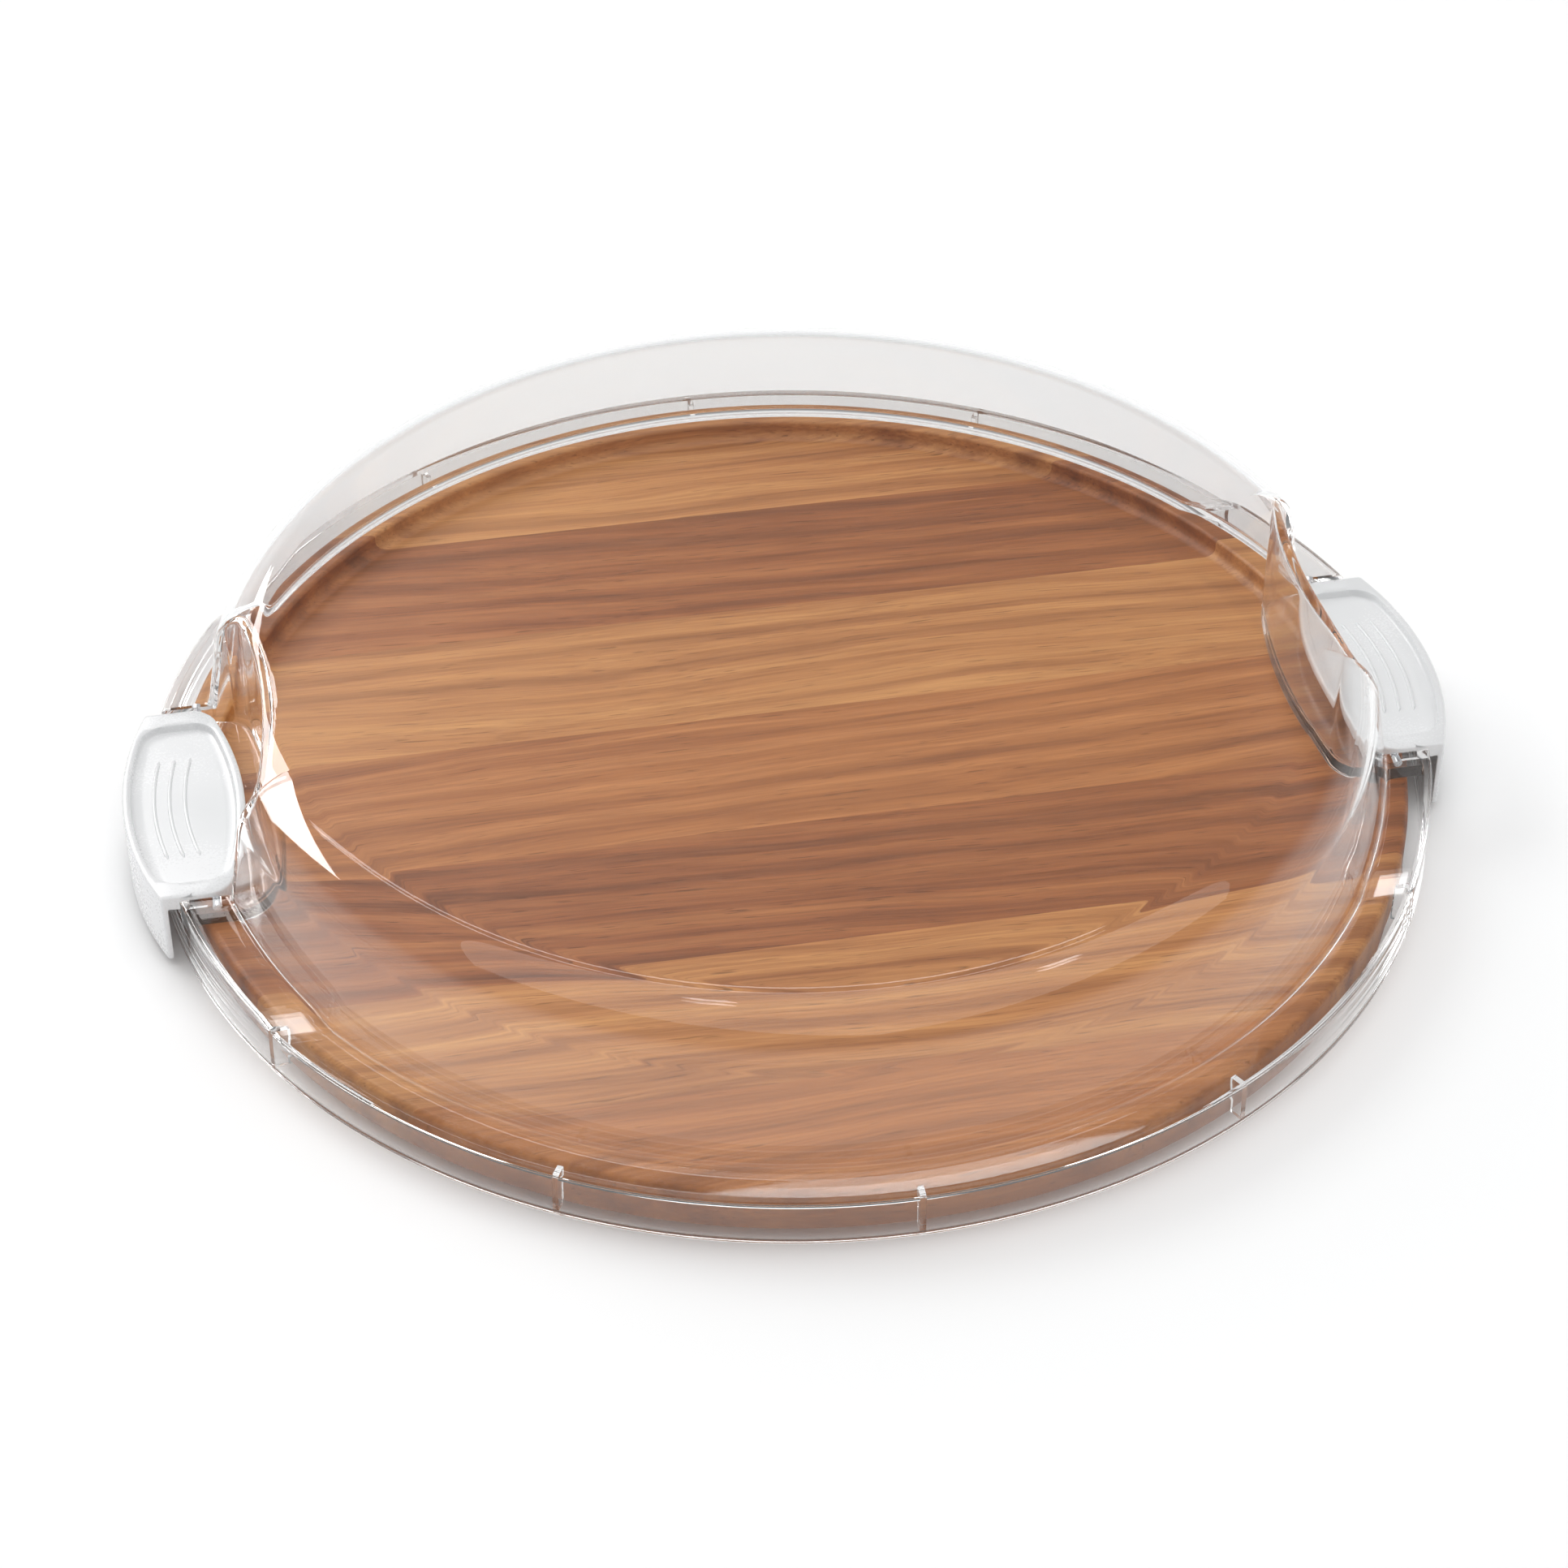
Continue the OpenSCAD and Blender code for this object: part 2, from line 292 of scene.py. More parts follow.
def clear_plastic():
    """Clear moulded plastic, with faint flow waves and a little wear in its gloss.

    Lamps and soft bounced light pass straight through. Light that has been caught inside the wall
    for more than MOST_TURNS bounces is let out, as the real plastic's haze does.
    """
    m = Nodes("clear_moulded_plastic")
    m.bsdf.inputs["Base Color"].default_value = (0.974, 0.978, 0.978, 1.0)
    m.bsdf.inputs["Transmission Weight"].default_value = 1.0
    m.bsdf.inputs["IOR"].default_value = 1.47
    p = m.coords()
    haze = m.noise(p, scale=55.0, detail=4.0, rough=0.6)
    m.link(m.remap(haze, 0.35, 0.75, 0.003, 0.02), m.bsdf.inputs["Roughness"])
    flow = m.noise(m.mapping(p, scale=(9, 9, 14)), detail=1.0)
    m.bump(flow, 0.06, 0.0005)
    path = m.node("ShaderNodeLightPath")
    through = m.math("MAXIMUM", path.outputs["Is Shadow Ray"], path.outputs["Is Diffuse Ray"])
    through = m.math("MAXIMUM", through, m.math("GREATER_THAN", path.outputs["Ray Depth"], MOST_TURNS))
    clear = m.node("ShaderNodeBsdfTransparent")
    clear.inputs["Color"].default_value = (0.96, 0.965, 0.965, 1.0)
    mix = m.node("ShaderNodeMixShader")
    m.link(through, mix.inputs[0])
    m.link(m.bsdf.outputs[0], mix.inputs[1])
    m.link(clear.outputs[0], mix.inputs[2])
    m.link(mix.outputs[0], m.out.inputs["Surface"])
    return m.mat


def white_plastic():
    """Glossy white moulded plastic, faintly cloudy and finely textured."""
    m = Nodes("white_moulded_plastic")
    p = m.coords()
    cloud = m.noise(p, scale=28.0, detail=3.0)
    fine = m.noise(p, scale=1400.0, detail=2.0)
    colour = m.mix(m.remap(cloud, 0.3, 0.7), (0.74, 0.745, 0.75), (0.79, 0.79, 0.795))
    m.link(colour, m.bsdf.inputs["Base Color"])
    texture = m.math("ADD", m.math("MULTIPLY", cloud, 0.6), m.math("MULTIPLY", fine, 0.4))
    m.link(m.remap(texture, 0.35, 0.65, 0.20, 0.32), m.bsdf.inputs["Roughness"])
    m.bump(fine, 0.03, 0.00003)
    m.bsdf.inputs["IOR"].default_value = 1.5
    return m.mat


def steel():
    """Drawn steel wire, brushed along the hinge."""
    m = Nodes("brushed_pin_steel")
    brushed = m.noise(m.mapping(m.coords(), scale=(2600, 60, 2600)), detail=2.0)
    colour = m.mix(m.remap(brushed, 0.3, 0.7), (0.50, 0.51, 0.53), (0.68, 0.69, 0.71))
    m.link(colour, m.bsdf.inputs["Base Color"])
    m.bsdf.inputs["Metallic"].default_value = 1.0
    m.link(m.remap(brushed, 0.3, 0.7, 0.22, 0.40), m.bsdf.inputs["Roughness"])
    m.bump(brushed, 0.15, 0.00003)
    return m.mat


# ---------------------------------------------------------------- board: staves cut from one turned board
def board_profile():
    """Half section of the turned board, from the middle of the foot round to the middle of the recess."""
    p = [(r, 0.0) for r in (0.0, 60, 120, 155)]
    p += arc_pts(FOOT_R - FOOT_ROUND, FOOT_ROUND, FOOT_ROUND, -90, 0, 4)
    p += [(FOOT_R, FOOT_H - 0.8), (FOOT_R + 0.25, FOOT_H - 0.2), (FOOT_R + 0.9, FOOT_H)]
    p += [(BOARD_R - 2.2, FOOT_H)]
    p += arc_pts(BOARD_R - EDGE_LOW, FOOT_H + EDGE_LOW, EDGE_LOW, -75, 0, 5)
    p += [(BOARD_R, 8.0), (BOARD_R, 11.0)]
    p += arc_pts(BOARD_R - EDGE_TOP, BOARD_H - EDGE_TOP, EDGE_TOP, 0, 90, 9)
    p += [(BOARD_R - 5.0, BOARD_H), (RECESS_R + 3.5, BOARD_H)]
    p += arc_pts(RECESS_R + RIM_ROUND, BOARD_H - RIM_ROUND, RIM_ROUND, 90, 180, 7)
    p += arc_pts(RECESS_R - RECESS_FILLET, RECESS_Z + RECESS_FILLET, RECESS_FILLET, 0, -90, 10)
    p += [(r, RECESS_Z) for r in (150, 120, 80, 40, 0.0)]
    return p


def turned_board():
    """The whole board, before it is cut into staves."""
    prof, n = board_profile(), 288
    verts = [(r * math.cos(2 * math.pi * k / n), r * math.sin(2 * math.pi * k / n), z)
             for r, z in prof for k in range(n)]
    return verts, grid_faces(len(prof), n)


def cut_stave(o, y, keep_above):
    """Cuts a stave straight at y and closes the cut with a flat face."""
    bm = bmesh.new()
    bm.from_mesh(o.data)
    res = bmesh.ops.bisect_plane(bm, geom=bm.verts[:] + bm.edges[:] + bm.faces[:], dist=1e-6,
                                 plane_co=(0, y * MM, 0), plane_no=(0, 1, 0),
                                 clear_outer=not keep_above, clear_inner=keep_above)
    rim = [e for e in res["geom_cut"] if isinstance(e, bmesh.types.BMEdge) and e.is_boundary]
    bmesh.ops.edgeloop_fill(bm, edges=rim)
    bmesh.ops.recalc_face_normals(bm, faces=bm.faces)
    bm.to_mesh(o.data)
    bm.free()


def staves(mats):
    """The board's staves from front to back, each with its own tone of wood."""
    verts, faces = turned_board()
    slots = ["acacia_mid", "acacia_light", "acacia_dark", "acacia_mid",
             "acacia_light", "acacia_dark", "acacia_light"]
    for i, slot in enumerate(slots):
        name = "stave_%d" % (i + 1)
        o = new_object("acacia_" + name, verts, faces)
        if i > 0:
            cut_stave(o, -BOARD_R + i * STAVE_W, True)
        if i < STAVES - 1:
            cut_stave(o, -BOARD_R + (i + 1) * STAVE_W, False)
        smooth(o, 40)
        o.data.materials.append(mats[slot])
        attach(o, "board")
        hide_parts(name)


# ---------------------------------------------------------------- clear lid: one grid of columns
def bay_polar(g):
    """The bay's plan grown by g: angles and radii of its wall, up to where the wall turns outwards."""
    r, corner = SCOOP_R + g, CORNER + g
    cu = SCOOP_U + SCOOP_R
    fv = BAY_HALF - CORNER
    fu = cu - math.sqrt((r - corner) ** 2 - fv * fv)
    tan_v = r * fv / (r - corner)
    pts = [(cu - math.sqrt(r * r - v * v), v) for v in spread(0.0, tan_v, 200)]
    a0 = math.degrees(math.atan2(tan_v - fv, pts[-1][0] - fu)) % 360
    pts += arc_pts(fu, fv, corner, a0, 95.0, 100)[1:]
    polar = [(math.degrees(math.atan2(v, u)), math.hypot(u, v)) for u, v in pts]
    keep = [polar[0]]
    for p in polar[1:]:
        if p[0] <= keep[-1][0] + 0.004:
            break
        keep.append(p)
    return [p[0] for p in keep], [p[1] for p in keep]


def ramp_height(v):
    """Height of the ramp above the ledge at v from the handle axis: a long slope, then a short foot."""
    if v < BAY_HALF:
        return 0.0
    top = RAMP_H - (RAMP_H - RAMP_LOW) * (v - BAY_HALF) / (RAMP_END - BAY_HALF)
    if v < BAY_HALF + RAMP_EDGE:
        t = 1.0 - (v - BAY_HALF) / RAMP_EDGE
        top -= RAMP_EDGE * (1.0 - math.sqrt(max(0.0, 1.0 - t * t)))
    foot = (RAMP_END + RAMP_FOOT / 2.0 - v) * RAMP_LOW / RAMP_FOOT
    return max(0.0, min(top, foot))


def bay_reach(a, side, wall, end_r):
    """How far out the bay lets the section at angle a run. Just before side it fans out to end_r."""
    if a < side - FAN - 0.0001:
        return float(np.interp(a, *wall))
    if a <= side + 1e-9:
        start = float(np.interp(side - FAN - 0.01, *wall))
        return start + (end_r - start) * (a - side + FAN) / FAN
    return FAR


def end_wall_shift(a):
    """Keeps the ramp's first columns on the bay's end wall, which the dome's lean would move a little."""
    return 0.15 * max(0.0, 1.0 - abs(a - SIDE_OUT) / 2.5)


def column_angles(wall):
    """Angles of one quarter's columns, closer together where the shape turns."""
    marks = spread(0.0, 12.2, 30) + spread(12.3, SIDE_OUT - 0.06, 26)
    marks += spread(SIDE_OUT - FAN, SIDE_OUT, 10)
    marks += [SIDE_OUT + step for step in (0.01, 0.03, 0.08, 0.15, 0.24, 0.36)] + [15.1, 15.25]
    marks += spread(SIDE_IN - FAN, SIDE_IN, 8) + [SIDE_IN + 0.01]
    marks += spread(15.6, 31.0, 20) + spread(31.2, 33.8, 22) + spread(34.4, 89.4, 58) + [90.0]
    for rib in RIB_ANGLES:
        for side in (-1, 1):
            for nudge in (-0.004, 0.004):
                at = rib + side * (RIB_HALF_DEG + nudge)
                if at <= 90.0:
                    low = math.asin(min(1.0, SKIRT_IN * math.sin(rad(at)) / DOME_FOOT_IN))
                    marks.append(math.degrees(low) if rib < 45.0 else at)
    for v in (NOTCH_HALF - 0.02, NOTCH_HALF + 0.02):
        marks.append(math.degrees(math.asin(v / np.interp(6.8, *wall))))
    return sorted(marks)


def columns():
    """Columns of one quarter of the lid, from the handle axis to the middle of the front."""
    outer, inner = bay_polar(0.0), bay_polar(WALL)
    mm_per_degree = 2.9
    cols = []
    for a in column_angles(outer):
        if cols and a - cols[-1]["a"] < 0.0008:
            continue
        past = max(0.0, a - SIDE_OUT) * mm_per_degree
        round_off = math.sqrt(max(0.0, CORNER_EASE ** 2 - max(0.0, CORNER_EASE - past) ** 2))
        v = DOME_FOOT_OUT * math.sin(rad(a)) - end_wall_shift(a)
        cols.append(dict(
            a=a,
            bay=bay_reach(a, SIDE_OUT, outer, SIDE_END_OUT),
            bay_in=bay_reach(a, SIDE_IN, inner, SIDE_END_IN),
            ease=CORNER_EASE - round_off,
            h=ramp_height(max(v, BAY_HALF + 0.002)) if a > SIDE_OUT + 1e-9 else 0.0,
            h_in=ramp_height(v) if a > SIDE_IN + 1e-9 else 0.0))
    return cols


def dome_rows(t, foot_z):
    """The dome's section from the middle of its top down to foot_z, grown inwards by t."""
    lean = rad(DOME_LEAN)
    zc = DOME_TOP - SHOULDER_R
    rc = DOME_R - (zc - LEDGE_TOP) * math.tan(lean) - SHOULDER_R / math.cos(lean)
    flat = (0, 45, 85, 110, 125, 134, 138, 140.5, 142, 142.8, 143.4, 143.9)
    pts = [(r, DOME_TOP - t) for r in flat]
    pts += arc_pts(rc, zc, SHOULDER_R - t, 90, DOME_LEAN, 40)
    r1, z1 = pts[-1]
    pts += [(r1 + (z1 - z) * math.tan(lean), z) for z in spread(z1, foot_z, 14)[1:]]
    return pts


def scooped(pts, bay, w, ease=0.0):
    """The section without what lies beyond the bay's wall, its edge rounded over about w."""
    p = np.array(pts)
    finer = 6
    t = np.arange(len(p))
    td = np.linspace(0, len(p) - 1, (len(p) - 1) * finer + 1)
    raw = np.interp(td, t, p[:, 0])
    r = np.minimum(raw - ease * np.clip((raw - 143.0) / 8.0, 0.0, 1.0), bay)
    z = np.interp(td, t, p[:, 1])
    s = np.concatenate([[0.0], np.cumsum(np.hypot(np.diff(r), np.diff(z)))])
    offs = np.linspace(-1, 1, 17)
    wt = 1.001 - np.abs(offs)
    out = []
    for si in s[::finer]:
        q = si + offs * min(w, si, s[-1] - si)
        out.append((float(np.average(np.interp(q, s, r), weights=wt)),
                    float(np.average(np.interp(q, s, z), weights=wt))))
    return out


def lid_column(c):
    """One column's rows, (u, v, z), from the middle of the top outside round to its middle inside."""
    a = rad(c["a"])
    # beside the bay a column runs straight out along its wall, and from 45 degrees on it is radial
    t = min(1.0, max(0.0, (c["a"] - 33.5) / 11.5))
    weight = 1.0 - t * t * (3.0 - 2.0 * t)
    foot = LEDGE_TOP + c["h"]
    under = LEDGE_LOW + c["h_in"]
    rows = []

    def radial(pts):
        for r, z in pts:
            rows.append((r * math.cos(a), r * math.sin(a), z))

    def along(r, z, v):
        b = (1.0 - weight) * a + weight * math.asin(min(1.0, v / r))
        rows.append((r * math.cos(b), r * math.sin(b), z))

    # outside: dome, fillet, ledge or ramp, rounded edge and skirt
    top = scooped(dome_rows(0.0, foot + FILLET), c["bay"], 1.2, c["ease"])
    radial(top)
    rf = top[-1][0]
    v_out = rf * math.sin(a) - end_wall_shift(c["a"])
    for d in (18, 36, 54, 72, 90):
        along(rf + FILLET * (1 - math.cos(rad(d))), foot + FILLET * (1 - math.sin(rad(d))), v_out)
    for f in (0.2, 0.4, 0.6, 0.8, 1.0):
        along(rf + FILLET + (LEDGE_R - LEDGE_EDGE - rf - FILLET) * f, foot, v_out)
    for d in (18, 36, 54, 72, 90):
        r = LEDGE_R - LEDGE_EDGE + LEDGE_EDGE * math.sin(rad(d))
        along(r, foot - LEDGE_EDGE + LEDGE_EDGE * math.cos(rad(d)), v_out)
    low = LEDGE_LOW if v_out < NOTCH_HALF else SKIRT_GAP
    for z in spread(foot - LEDGE_EDGE, SKIRT_GAP + SKIRT_LIP, 7)[1:]:
        z = max(z, low)
        taper = max(0.0, (LEDGE_TOP - LEDGE_EDGE - z) / (LEDGE_TOP - LEDGE_EDGE - SKIRT_GAP))
        along(LEDGE_R + (SKIRT_R - LEDGE_R) * taper, z, v_out)

    # the skirt's rounded lower lip
    inner_top = scooped(dome_rows(WALL, under + FILLET_IN), c["bay_in"], 1.1)
    rin = inner_top[-1][0]
    v_in = rin * math.sin(a)
    for d in (30, 60, 90):
        z = SKIRT_GAP + SKIRT_LIP - SKIRT_LIP * math.sin(rad(d))
        along(SKIRT_R - SKIRT_LIP + SKIRT_LIP * math.cos(rad(d)), max(low, z), v_out)
    for d in (90, 60, 30, 0):
        z = SKIRT_GAP + SKIRT_LIP - SKIRT_LIP * math.sin(rad(d))
        along(SKIRT_IN + SKIRT_LIP - SKIRT_LIP * math.cos(rad(d)), max(low, z), v_in)

    # inside: skirt with its ribs, underside of the ledge, and dome
    skirt_angle = math.degrees((1.0 - weight) * a + weight * math.asin(min(1.0, v_in / SKIRT_IN)))
    rib = any(abs(skirt_angle - s) < RIB_HALF_DEG for s in RIB_ANGLES)
    r_skirt = RIB_INNER if rib else SKIRT_IN
    for z in (5.62, 6.2, 8.5, 11.0, 13.5, LEDGE_LOW, under):
        along(r_skirt, max(z, low), v_in)
    for f in (0.25, 0.5, 0.75, 1.0):
        along(r_skirt + (rin + FILLET_IN - r_skirt) * f, under, v_in)
    for d in (30, 60):
        r = rin + FILLET_IN - FILLET_IN * math.sin(rad(d))
        along(r, under + FILLET_IN - FILLET_IN * math.cos(rad(d)), v_in)
    radial(reversed(inner_top))
    return rows


def clear_dome(mat):
    """The whole lid, as one quarter mirrored about both upright planes."""
    quarter = [lid_column(c) for c in columns()]
    n = len(quarter)
    ring = [(k, 1, 1) for k in range(n)]
    ring += [(k, -1, 1) for k in range(n - 2, -1, -1)]
    ring += [(k, -1, -1) for k in range(1, n)]
    ring += [(k, 1, -1) for k in range(n - 2, 0, -1)]
    rows = len(quarter[0])
    verts = [(quarter[k][i][0] * sx, quarter[k][i][1] * sy, quarter[k][i][2])
             for i in range(rows) for k, sx, sy in ring]
    o = new_object("clear_dome", verts, grid_faces(rows, len(ring)))
    smooth(o, 38)
    o.data.materials.append(mat)
    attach(o, "lid")
    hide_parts("dome_lid")


# ---------------------------------------------------------------- latches
def u_out(v):
    """Place of the latch's outer face at v."""
    return FACE_U - FACE_R + math.sqrt(FACE_R ** 2 - v * v)


def u_in(v):
    """Place of the edge of the latch's inner tab at v."""
    return TAB_U + TAB_R - math.sqrt(TAB_R ** 2 - v * v)


def rounding(v, end, r):
    """How far a plan corner of radius r, ending at end, has come in at v."""
    t = abs(v) - (end - r)
    return 0.0 if t <= 0 else r - math.sqrt(max(0.0, r * r - min(t, r) ** 2))


# the wall of the dish: how far out from its rim, and how much of its depth
DISH_STEP = [(0.3, 0.0), (0.05, 0.04), (-0.12, 0.18), (-0.22, 0.5), (-0.36, 0.82), (-0.7, 0.96), (-1.2, 1.0)]


def latch_section(v, g, depth, hollow):
    """Closed (u, z) section of a latch at v, set in by g, with a dish of the given depth."""
    uo, ui = u_out(v), u_in(v) + rounding(v, LATCH_HALF, TAB_CORNER)
    top = LATCH_TOP - g
    edge_z = top - LATCH_EDGE
    floor = min(top, LATCH_TOP - depth)

    # outer face, rounded edge, dish and inner edge
    pts = [(uo - g, HOOK_LOW + FOOT_EASE + g)]
    pts += [(uo - g, z) for z in (6.0, 10.0, 14.0, 18.0, 21.0)]
    pts += arc_pts(uo - g - LATCH_EDGE, edge_z, LATCH_EDGE, 0, 90, 5)
    dish_o = uo - RIM_W - rounding(v, LIP_IN, DISH_CORNER)
    dish_i = ui + RIM_W + rounding(v, LIP_IN, DISH_CORNER) * 0.8
    pts += [(dish_o + du, top - (top - floor) * f) for du, f in DISH_STEP]
    pts += [(u, floor) for u in spread(dish_o - 1.2, dish_i + 1.2, 12)[1:-1]]
    pts += [(dish_i - du, top - (top - floor) * f) for du, f in reversed(DISH_STEP)]
    pts += arc_pts(ui + g + LATCH_EDGE, edge_z, LATCH_EDGE, 90, 180, 5)

    def under(u, low):
        """The underside at u: low, or what clears the lid's ledge when the latch turns to its limits."""
        z_in = PIN_Z + (PIN_U - u) * math.tan(rad(OPEN_DEG)) - HUB_R / math.cos(rad(OPEN_DEG))
        z_out = PIN_Z + (u - PIN_U) * math.tan(rad(CLOSE_DEG)) - HUB_R / math.cos(rad(CLOSE_DEG))
        return min(edge_z - FOOT_EASE, max(low, z_in, z_out) + g)

    # underside of the tab, hollow, and inside of the outer wall down to its foot
    lip_low = LEDGE_TOP + 0.3
    skin_low = DISH_Z - SKIN if hollow else lip_low
    pts += [(ui + g, under(ui, lip_low) + 0.3), (ui + g + 0.1, under(ui, lip_low) + 0.08)]
    pts += [(u, under(u, lip_low)) for u in spread(ui + g + 0.3, ui + SKIN, 2)]
    wall_in = uo - SKIN + g
    pts += [(u, under(u, skin_low)) for u in spread(ui + SKIN + 0.01, wall_in - 0.6, 10)]
    z_corner = under(wall_in, skin_low)
    pts += [(wall_in - 0.18, z_corner - 0.08), (wall_in, z_corner - 0.6)]
    pts += [(wall_in, z) for z in (16.0, 11.0, 6.0)]
    pts += [(wall_in, HOOK_LOW + FOOT_EASE + g), (wall_in + 0.3, HOOK_LOW + g)]
    pts += [(uo - g - FOOT_EASE, HOOK_LOW + g)]
    return pts


def loft(stations):
    """One closed shell through a list of closed sections of (x, y, z) points, with flat ends."""
    m = len(stations[0])
    verts = [p for s in stations for p in s]
    faces = grid_faces(len(stations), m)
    faces += [tuple(range(m))[::-1], tuple(range((len(stations) - 1) * m, len(stations) * m))]
    return verts, faces


def latch_body():
    """The latch without its hook and ridges, lofted from one rounded end to the other."""
    full = LATCH_TOP - DISH_Z
    end = [(39.5, 0.5), (39.42, 0.28), (39.22, 0.11), (38.95, 0.02), (38.2, 0.0), (36.5, 0.0), (35.2, 0.0),
           (34.0, 0.0)]
    dish_end = [(33.75, 0.04, False), (33.6, 0.16, False), (33.5, 0.5, False),
                (33.4, 0.84, True), (33.15, 0.97, True), (32.7, 1.0, True)]
    middle = (32.2, 31.6, 30.9, 30.2, 29.5, 28.5, 27, 25, 22, 19, 16, 12, 8, 4)
    side = [(v, g, 0.0, False) for v, g in end]
    side += [(v, 0.0, share * full, hollow) for v, share, hollow in dish_end]
    side += [(v, 0.0, full, True) for v in middle]
    stations = [(-v, g, d, h) for v, g, d, h in side] + [(0.0, 0.0, full, True)]
    stations += [(v, g, d, h) for v, g, d, h in reversed(side)]
    return loft([[(u, v, z) for u, z in latch_section(v, g, d, h)] for v, g, d, h in stations])


def latch_hook():
    """The hook that goes under the board's edge, with its edges eased."""
    end = [(HOOK_HALF, 0.35), (HOOK_HALF - 0.2, 0.1), (HOOK_HALF - 0.6, 0)]
    stations = [(-v, g) for v, g in end] + [(v, 0) for v in range(-13, 14)] + end[::-1]
    sections = []
    for v, g in stations:
        tip = math.sqrt((BOARD_R + HOOK_PLAY) ** 2 - v * v) + g
        root = u_out(v) - SKIN / 2
        lo, hi = HOOK_LOW + g, HOOK_TOP - g
        sections.append([(root, v, lo), (root, v, hi), (tip + 0.8, v, hi), (tip + 0.2, v, hi - 0.25),
                         (tip, v, (lo + hi) / 2), (tip + 0.2, v, lo + 0.25), (tip + 0.8, v, lo)])
    return loft(sections)


def grip_ridge(k):
    """The dish's ridge k, counted from the outer face, rounded and thinned towards its ends."""
    mid_r = FACE_R - RIDGE_FIRST - RIDGE_PITCH * k - RIDGE_W
    half = math.degrees(math.asin(RIDGE_HALF / mid_r))
    sections = []
    for b in spread(-half, half, 32):
        end = min(1.0, (half - abs(b)) / 0.9)
        grow = math.sqrt(max(0.04, 1 - (1 - end) ** 2))
        section = []
        for d in range(0, 360, 30):
            r = mid_r + RIDGE_W * grow * math.cos(rad(d))
            z = DISH_Z + RIDGE_H * grow * math.sin(rad(d))
            section.append((FACE_U - FACE_R + r * math.cos(rad(b)), r * math.sin(rad(b)), z))
        sections.append(section)
    return loft(sections)


def latches(mat):
    """The right latch, and the same turned half round for the left."""
    shells = [latch_body(), latch_hook()] + [grip_ridge(k) for k in range(RIDGES)]
    for side, name in ((-1, "left"), (1, "right")):
        verts, faces = [], []
        for vs, fs in shells:
            base = len(verts)
            verts += [(side * x, side * y, z) for x, y, z in vs]
            faces += [tuple(base + k for k in f) for f in fs]
        o = new_object(name + "_rocker_latch", verts, faces)
        smooth(o, 40)
        o.data.materials.append(mat)
        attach(o, "latch_" + name)
        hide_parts(name + "_latch")


# ---------------------------------------------------------------- pieces
woods = {
    "acacia_light": wood("acacia_light", 3, (0.64, 0.305, 0.105), (0.53, 0.225, 0.072),
                         (0.30, 0.105, 0.030), 0.02),
    "acacia_mid": wood("acacia_mid", 11, (0.56, 0.230, 0.074), (0.44, 0.160, 0.046),
                       (0.23, 0.075, 0.022), -0.03),
    "acacia_dark": wood("acacia_dark", 23, (0.46, 0.170, 0.052), (0.33, 0.107, 0.031),
                        (0.155, 0.047, 0.015), 0.04),
}
staves(woods)
clear_dome(clear_plastic())
latches(white_plastic())
pin_metal = steel()
for side in ("left", "right"):
    for end in ("front", "rear"):
        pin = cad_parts["%s_%s_hinge_pin" % (side, end)]
        pin.data.materials.clear()
        pin.data.materials.append(pin_metal)


# ---------------------------------------------------------------- floor, light and camera
def floor_material():
    """Pale matt paper that glows a little far out, so that it stays pale up to the horizon."""
    m = Nodes("pale_studio_floor")
    far_out = m.vmath("LENGTH", m.coords())
    m.bsdf.inputs["Emission Color"].default_value = (1.0, 1.0, 1.0, 1.0)
    m.link(m.remap(far_out, 0.7, 3.0, 0.0, 0.72), m.bsdf.inputs["Emission Strength"])
    cloud = m.noise(m.coords(), scale=3.0, detail=3.0)
    colour = m.mix(m.remap(cloud, 0.3, 0.7), (0.93, 0.93, 0.93), (0.95, 0.95, 0.95))
    m.link(colour, m.bsdf.inputs["Base Color"])
    m.bsdf.inputs["Roughness"].default_value = 0.9
    m.bsdf.inputs["Specular IOR Level"].default_value = 0.0
    return m.mat


FLOOR_HALF, FLOOR_Z = 6000, -0.4
floor_corners = [(x * FLOOR_HALF, y * FLOOR_HALF, FLOOR_Z) for x, y in ((-1, -1), (1, -1), (1, 1), (-1, 1))]
floor = new_object("studio_floor", floor_corners, [(0, 1, 2, 3)])
floor.data.materials.append(floor_material())


def soft_light(name, loc, target, size, power):
    """A rectangular lamp at loc that faces target. Sizes are in metres and power is in watts."""
    data = bpy.data.lights.new(name, "AREA")
    data.shape = "RECTANGLE"
    data.size, data.size_y = size
    data.energy = power
    o = bpy.data.objects.new(name, data)
    bpy.context.scene.collection.objects.link(o)
    o.location = loc
    o.rotation_euler = (Vector(target) - Vector(loc)).to_track_quat("-Z", "Y").to_euler()
    return o


# the key's gloss and its soft light are two lamps in one place, so that the floor stays even
KEY_LAMP = ((-0.76, 0.84, 0.80), (-0.14, -0.04, 0.05), (1.05, 0.5))
gloss = soft_light("key_gloss", *KEY_LAMP, 17.5)
gloss.visible_diffuse = False
key = soft_light("key_softbox", *KEY_LAMP, 10.5)
overhead = soft_light("overhead_softbox", (0.25, -0.25, 2.2), (0.1, -0.1, 0), (3.2, 3.2), 53)
for lamp in (key, overhead):
    lamp.visible_glossy = False
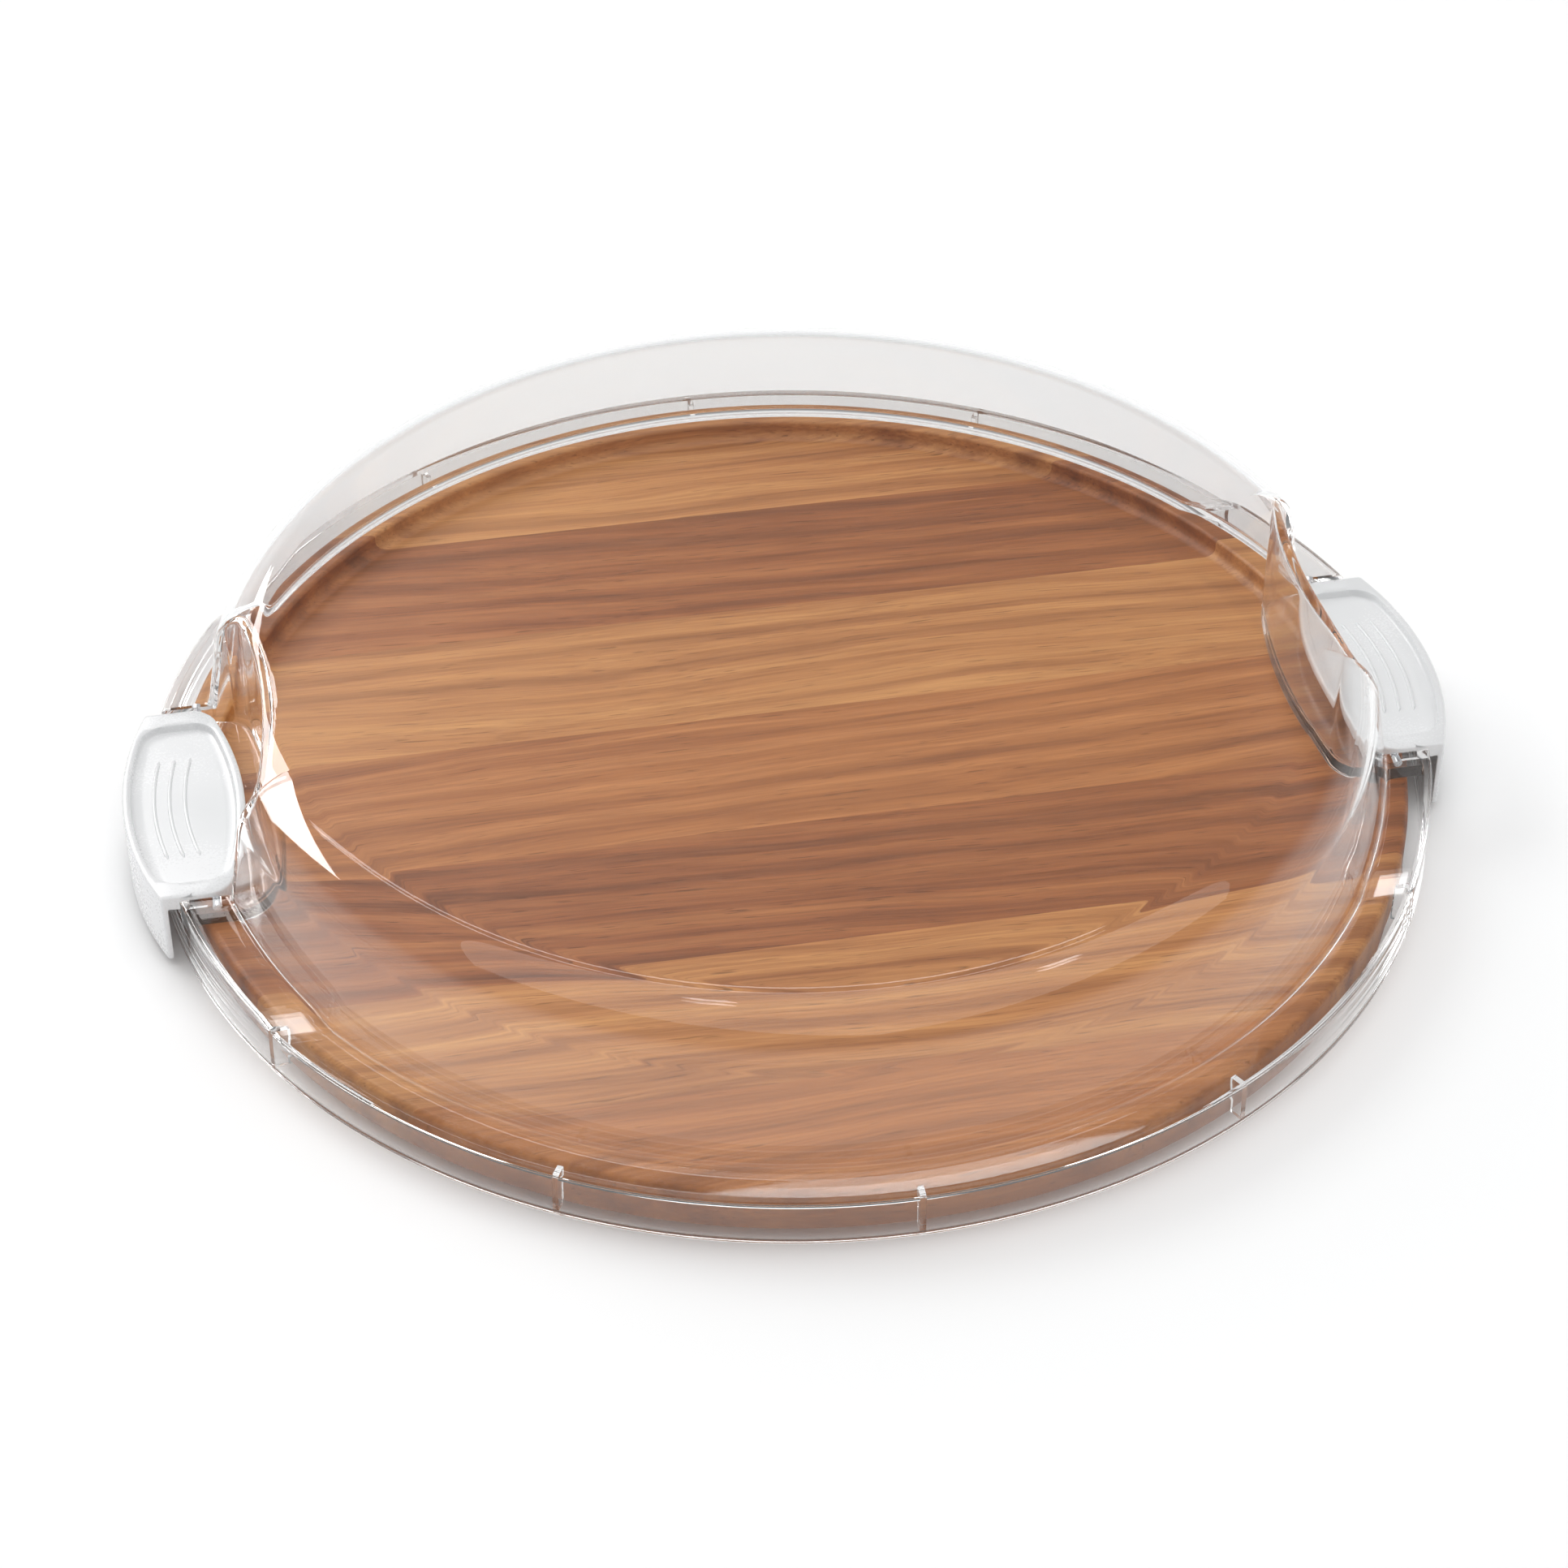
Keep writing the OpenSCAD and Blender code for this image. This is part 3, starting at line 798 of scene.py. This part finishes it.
# small lamps that show only in the clear lid's gloss
soft_light("left_foot_lamp", (-0.148, 0.226, 1.8), (-0.15, -0.089, 0.02), (0.11, 0.11), 0.25)
soft_light("right_foot_lamp", (0.703, 0.226, 1.8), (0.15, -0.089, 0.02), (0.11, 0.11), 0.30)
soft_light("edge_strip", (-0.08, 1.25, 1.55), (-0.08, 0, 0.06), (1.25, 0.06), 1.1)

# the world is pale at the horizon and dim overhead, so that the clear walls show their edges
world = bpy.data.worlds.new("soft_studio")
world.use_nodes = True
wn = world.node_tree
sky = wn.nodes["Background"]
direction = wn.nodes.new("ShaderNodeTexCoord")
height = wn.nodes.new("ShaderNodeSeparateXYZ")
fade = wn.nodes.new("ShaderNodeMapRange")
fade.interpolation_type = "SMOOTHSTEP"
wn.links.new(direction.outputs["Generated"], height.inputs[0])
wn.links.new(height.outputs["Z"], fade.inputs["Value"])
low, high, at_horizon, overhead_strength = 0.12, 0.50, 0.95, 0.17
for socket, value in zip(fade.inputs[1:5], (low, high, at_horizon, overhead_strength)):
    socket.default_value = value
wn.links.new(fade.outputs["Result"], sky.inputs["Strength"])
sky.inputs["Color"].default_value = (0.98, 0.99, 1.0, 1.0)
bpy.context.scene.world = world
bpy.context.scene.view_settings.view_transform = "Standard"

# light crosses the clear walls many times before it leaves them at an edge
paths = bpy.context.scene.cycles
paths.max_bounces = 32
paths.transmission_bounces = 32
paths.glossy_bounces = 24
paths.transparent_max_bounces = 32

azimuth, elevation, distance = rad(-10.6), rad(39.9), 1.072
target = Vector((0.0, 0.0, 0.005))
back = Vector((math.sin(azimuth) * math.cos(elevation),
               -math.cos(azimuth) * math.cos(elevation),
               math.sin(elevation)))
lens = bpy.data.cameras.new("photo_camera")
lens.lens = 87.0
lens.sensor_width = 36.0
lens.shift_x = -0.0049
lens.shift_y = -0.0011
camera = bpy.data.objects.new("photo_camera", lens)
bpy.context.scene.collection.objects.link(camera)
camera.location = target + back * distance
camera.rotation_euler = (-back).to_track_quat("-Z", "Y").to_euler()
bpy.context.scene.camera = camera
